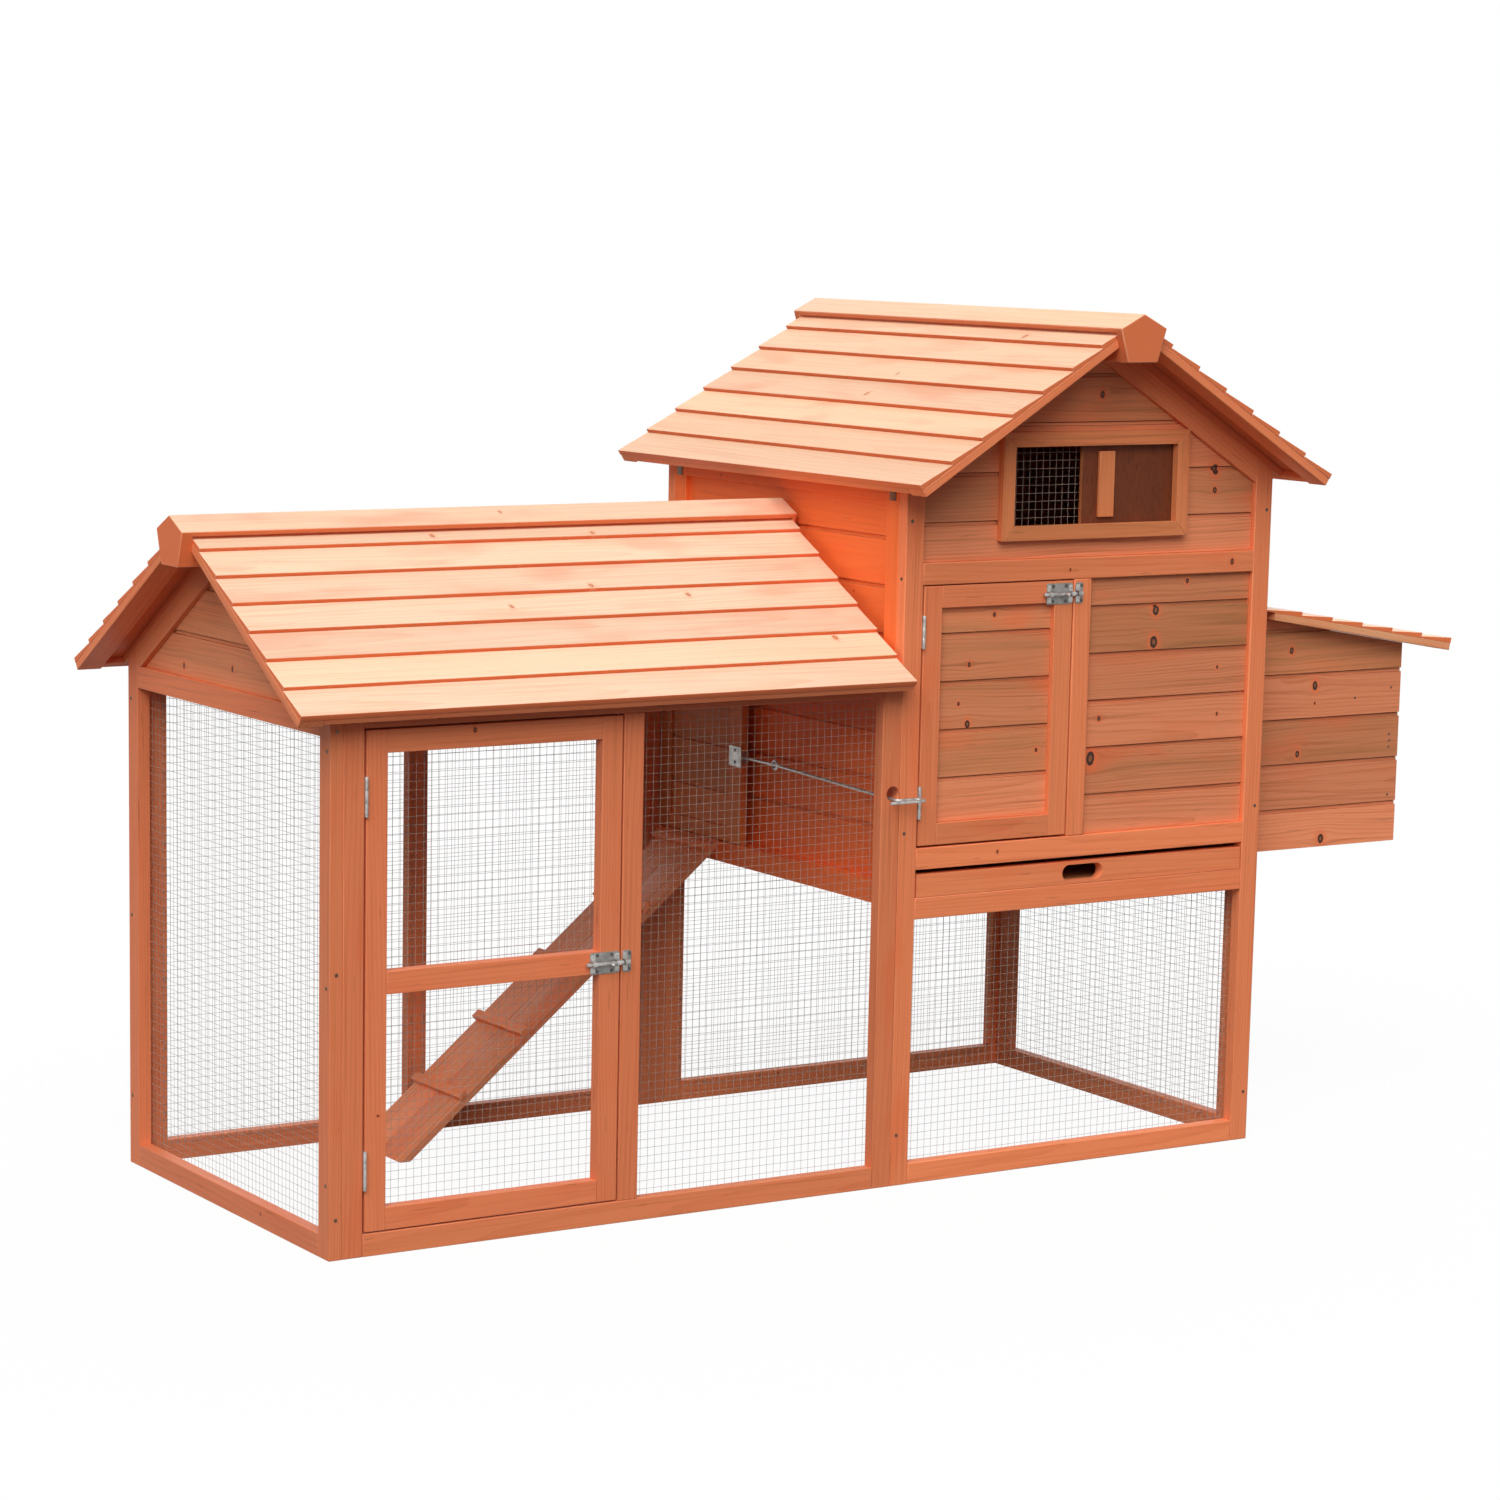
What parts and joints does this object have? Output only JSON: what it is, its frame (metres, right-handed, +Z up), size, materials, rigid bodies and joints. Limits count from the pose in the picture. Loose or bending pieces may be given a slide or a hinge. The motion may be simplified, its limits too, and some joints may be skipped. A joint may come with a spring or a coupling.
{
  "type": "chicken coop with run",
  "caption": "Timber hen house on legs with a gabled board roof, hinged door, pull-out tray and nest box, joined to a mesh run with its own roof, door and ramp.",
  "frame": {"origin": "ground level under the middle of the outline box", "axes": "+X along the coop from the run to the nest box, +Y from the door side to the back, +Z up"},
  "size_m": [2.214, 0.914, 1.3593],
  "materials": {
    "frame_timber": "stained fir, satin",
    "wall_boards": "stained fir, satin",
    "roof_timber": "stained fir, satin",
    "plywood": "stained plywood, satin",
    "mesh_wire": "galvanised",
    "zinc_hardware": "bright zinc plate"
  },
  "bodies": {
    "coop": {"run_end_frame": "frame_timber", "run_end_boards": "wall_boards", "run_end_mesh": "mesh_wire", "run_front_frame": "frame_timber", "run_front_mesh": "mesh_wire", "run_back_frame": "frame_timber", "run_back_mesh": "mesh_wire", "run_roof_boards": "roof_timber", "run_roof_rafters": "roof_timber", "run_ridge_beam": "roof_timber", "run_post_hinges": "zinc_hardware", "bolt_keepers": "zinc_hardware", "house_front_frame": "frame_timber", "house_front_boards": "wall_boards", "house_front_mesh": "mesh_wire", "house_back_frame": "frame_timber", "house_back_boards": "wall_boards", "house_back_mesh": "mesh_wire", "house_left_frame": "frame_timber", "house_left_boards": "wall_boards", "house_right_frame": "frame_timber", "house_right_boards": "wall_boards", "house_right_mesh": "mesh_wire", "house_roof_boards": "roof_timber", "house_roof_rafters": "roof_timber", "house_ridge_beam": "roof_timber", "roof_brackets": "zinc_hardware", "window_frame": "frame_timber", "window_mesh": "mesh_wire", "house_post_hinges": "zinc_hardware", "tray_runners": "frame_timber", "pop_door_guides": "frame_timber", "ramp_boards": "wall_boards", "ramp_cleats": "frame_timber", "nest_walls": "wall_boards", "nest_floor": "plywood", "nest_wall_hinges": "zinc_hardware", "perch_bar": "frame_timber", "panel_screws": "zinc_hardware"},
    "run_door_leaf": {"run_door_frame": "frame_timber", "run_door_mesh": "mesh_wire", "run_door_hinges": "zinc_hardware", "run_bolt_case": "zinc_hardware"},
    "run_latch": {"run_bolt": "zinc_hardware"},
    "house_door_leaf": {"house_door_frame": "frame_timber", "house_door_boards": "wall_boards", "house_door_hinges": "zinc_hardware", "house_bolt_case": "zinc_hardware"},
    "house_latch": {"house_bolt": "zinc_hardware"},
    "shutter": {"window_shutter": "plywood", "shutter_grip": "frame_timber"},
    "pop_door": {"pop_door_frame": "frame_timber", "pop_door_boards": "wall_boards", "pop_door_bracket": "zinc_hardware", "pull_rod": "zinc_hardware"},
    "tray": {"tray_front": "frame_timber", "tray_pan": "plywood"},
    "nest_lid": {"nest_lid_boards": "roof_timber", "nest_lid_battens": "roof_timber", "nest_lid_hinges": "zinc_hardware"}
  },
  "joints": [
    {"name": "run_door_hinge", "type": "hinge", "parent": "coop", "child": "run_door_leaf", "pos_m": [-0.9614, -0.35075, 0.4], "axis": [0, 0, -1], "range_deg": [0, 160]},
    {"name": "run_bolt_slide", "type": "slide", "parent": "run_door_leaf", "child": "run_latch", "axis": [1, 0, 0], "range_m": [-0.018, 0.009]},
    {"name": "house_door_hinge", "type": "hinge", "parent": "coop", "child": "house_door_leaf", "pos_m": [-0.0004, -0.35075, 0.74], "axis": [0, 0, -1], "range_deg": [0, 90]},
    {"name": "house_bolt_slide", "type": "slide", "parent": "house_door_leaf", "child": "house_latch", "axis": [1, 0, 0], "range_m": [-0.018, 0.009]},
    {"name": "window_shutter_slide", "type": "slide", "parent": "coop", "child": "shutter", "axis": [-1, 0, 0], "range_m": [0, 0.149]},
    {"name": "pop_door_slide", "type": "slide", "parent": "coop", "child": "pop_door", "axis": [0, -1, 0], "range_m": [0, 0.235]},
    {"name": "tray_slide", "type": "slide", "parent": "coop", "child": "tray", "axis": [0, -1, 0], "range_m": [0, 0.5]},
    {"name": "nest_lid_hinge", "type": "hinge", "parent": "coop", "child": "nest_lid", "pos_m": [0.68505, 0, 0.88077], "axis": [0, -1, 0], "range_deg": [0, 80]}
  ]
}
